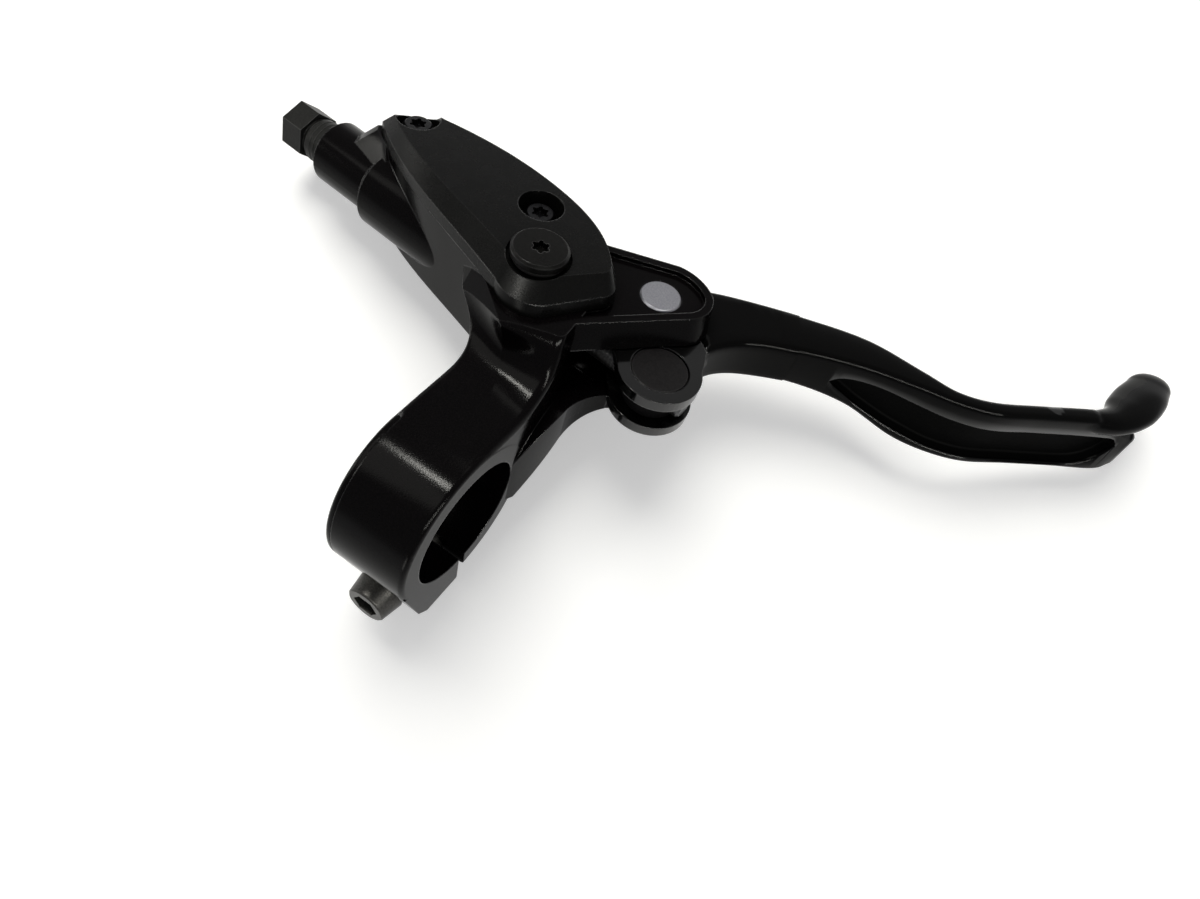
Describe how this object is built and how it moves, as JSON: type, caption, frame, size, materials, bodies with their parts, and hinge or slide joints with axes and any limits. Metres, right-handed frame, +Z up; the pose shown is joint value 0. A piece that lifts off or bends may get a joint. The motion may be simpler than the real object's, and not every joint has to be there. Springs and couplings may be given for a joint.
{
  "type": "hydraulic brake lever",
  "caption": "Right-hand hydraulic brake lever: handlebar clamp, master cylinder with top reservoir, and a hooked finger lever that drives the piston through a push rod.",
  "frame": {"origin": "centre of the handlebar clamp bore, half way along its width", "axes": "+X along the handlebar towards the lever tip, +Y forward from the rider, +Z up along the lever pivot"},
  "size_m": [0.1603, 0.1156, 0.0468],
  "materials": {
    "cast_body_black": "gloss black paint with a fine metallic grain",
    "lid_charcoal": "satin charcoal moulding",
    "screw_black": "black oxide, oiled",
    "bleed_black": "black anodised, satin top",
    "seal_rubber": "smooth black rubber",
    "lever_black": "gloss black paint",
    "bush_bronze": "sintered bronze",
    "pin_steel": "satin machined steel",
    "clip_steel": "dark spring steel",
    "barrel_grey": "grainy dark grey",
    "rod_steel": "bright zinc plated",
    "piston_alloy": "turned and clear anodised",
    "spring_steel": "bright drawn wire",
    "nut_grey": "matte dark grey",
    "olive_brass": "plain brass",
    "bolt_black": "black oxide"
  },
  "bodies": {
    "brake_body": {"master_body": "cast_body_black", "reservoir_lid": "lid_charcoal", "lid_screws": "screw_black", "bleed_screw": "bleed_black", "bleed_o_ring": "seal_rubber", "reservoir_diaphragm": "seal_rubber", "pivot_pin": "pin_steel", "pivot_clip": "clip_steel", "stop_washer": "clip_steel", "circlip": "clip_steel", "piston_spring": "spring_steel", "hose_nut": "nut_grey", "hose_olive": "olive_brass", "clamp_bolt": "bolt_black"},
    "lever": {"lever_blade": "lever_black", "pivot_bushes": "bush_bronze"},
    "push_rod_set": {"push_barrel": "barrel_grey", "push_rod": "rod_steel"},
    "piston_set": {"piston": "piston_alloy", "secondary_cup": "seal_rubber", "primary_cup": "seal_rubber"}
  },
  "joints": [
    {"name": "lever_pivot", "type": "hinge", "parent": "brake_body", "child": "lever", "pos_m": [0.0115, 0.0419, 0.0135], "axis": [0, 0, -1], "range_deg": [0, 25]},
    {"name": "barrel_swivel", "type": "hinge", "parent": "lever", "child": "push_rod_set", "pos_m": [0.0184, 0.032, 0.0135], "axis": [0, 0, 1], "range_deg": [0, 18.2]},
    {"name": "piston_slide", "type": "slide", "parent": "brake_body", "child": "piston_set", "axis": [-0.9952, 0.0976, 0], "range_m": [0, 0.00445], "deforming": ["piston_spring"]}
  ],
  "couplings": [
    {"joint": "barrel_swivel", "follows": "lever_pivot", "ratio": 0.725},
    {"joint": "piston_slide", "follows": "lever_pivot", "m_per_rad": 0.01014}
  ]
}
